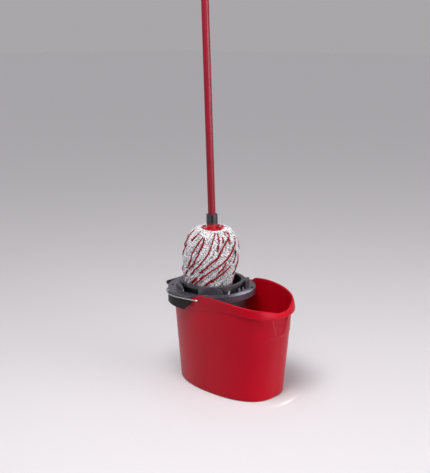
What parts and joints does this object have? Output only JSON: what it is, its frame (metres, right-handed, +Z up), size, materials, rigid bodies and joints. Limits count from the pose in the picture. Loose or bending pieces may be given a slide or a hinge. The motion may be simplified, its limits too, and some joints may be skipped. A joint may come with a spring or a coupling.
{
  "type": "mop and bucket with wringer",
  "caption": "Oval bucket with a pouring spout and folding wire bail, a press wringer seated over one end, and a strip mop standing in the wringer on a long tube handle.",
  "frame": {"origin": "on the floor under the bucket, on its mid-plane, where the base is widest", "axes": "+Z up, +X along the bucket towards the pouring spout, the wringer at -X, Y across the bucket"},
  "size_m": [0.4208, 0.2732, 1.4553],
  "materials": {
    "bucket_red": "smooth moulded, slightly glossy",
    "wire_steel": "drawn bright wire",
    "spring_steel": "drawn spring wire",
    "grey_grip": "moulded, satin",
    "grey_frame": "moulded, satin",
    "grey_apron": "moulded, fine texture",
    "grey_cup": "moulded, satin",
    "grey_basket": "moulded, satin",
    "white_ring": "slippery natural plastic",
    "hub_red": "moulded, glossy",
    "strip_yarn": "looped microfibre yarn, white with thin red strands",
    "grey_collar": "moulded, satin",
    "grey_cap": "moulded, satin",
    "tube_red": "coated steel, satin"
  },
  "bodies": {
    "bucket": {"bucket_shell": "bucket_red"},
    "bail": {"bail_wire": "wire_steel", "bail_grip": "grey_grip"},
    "wringer": {"wringer_frame": "grey_frame", "rim_apron": "grey_apron", "wringer_cup": "grey_cup", "return_spring": "spring_steel"},
    "press_carrier": {"thrust_ring": "white_ring"},
    "basket": {"basket_ring": "grey_basket", "basket_slats": "grey_basket", "basket_foot": "grey_basket"},
    "mop": {"mop_hub": "hub_red", "strip_clamp": "hub_red", "clamp_screws": "spring_steel", "mop_strips": "strip_yarn", "socket_collar": "grey_collar", "handle_tube": "tube_red", "handle_plug": "grey_collar", "handle_cap": "grey_cap"},
    "button": {"release_button": "grey_collar"}
  },
  "joints": [
    {"name": "bail_swing", "type": "hinge", "parent": "bucket", "child": "bail", "pos_m": [-0.017, 0, 0.2835], "axis": [0, 1, 0], "range_deg": [0, 30]},
    {"name": "wringer_lift", "type": "slide", "parent": "bucket", "child": "wringer", "axis": [0, 0, 1], "range_m": [0, 0.15]},
    {"name": "press_plunge", "type": "slide", "parent": "wringer", "child": "press_carrier", "axis": [0, 0, -1], "range_m": [0, 0.025], "stiffness_N_per_m": 1500, "springref_m": -0.02, "deforming": ["return_spring"]},
    {"name": "press_twist", "type": "hinge", "parent": "press_carrier", "child": "basket", "pos_m": [-0.079, 0, 0.27], "axis": [0, 0, 1], "range_deg": [0, 35.1]},
    {"name": "mop_lift", "type": "slide", "parent": "press_carrier", "child": "mop", "axis": [0, 0, 1], "range_m": [0, 0.3]},
    {"name": "button_press", "type": "slide", "parent": "mop", "child": "button", "axis": [-0.6814, 0.7314, -0.0286], "range_m": [0, 0.0015], "stiffness_N_per_m": 900, "springref_m": -0.001}
  ],
  "couplings": [
    {"joint": "press_twist", "follows": "press_plunge", "rad_per_m": 24.435}
  ]
}
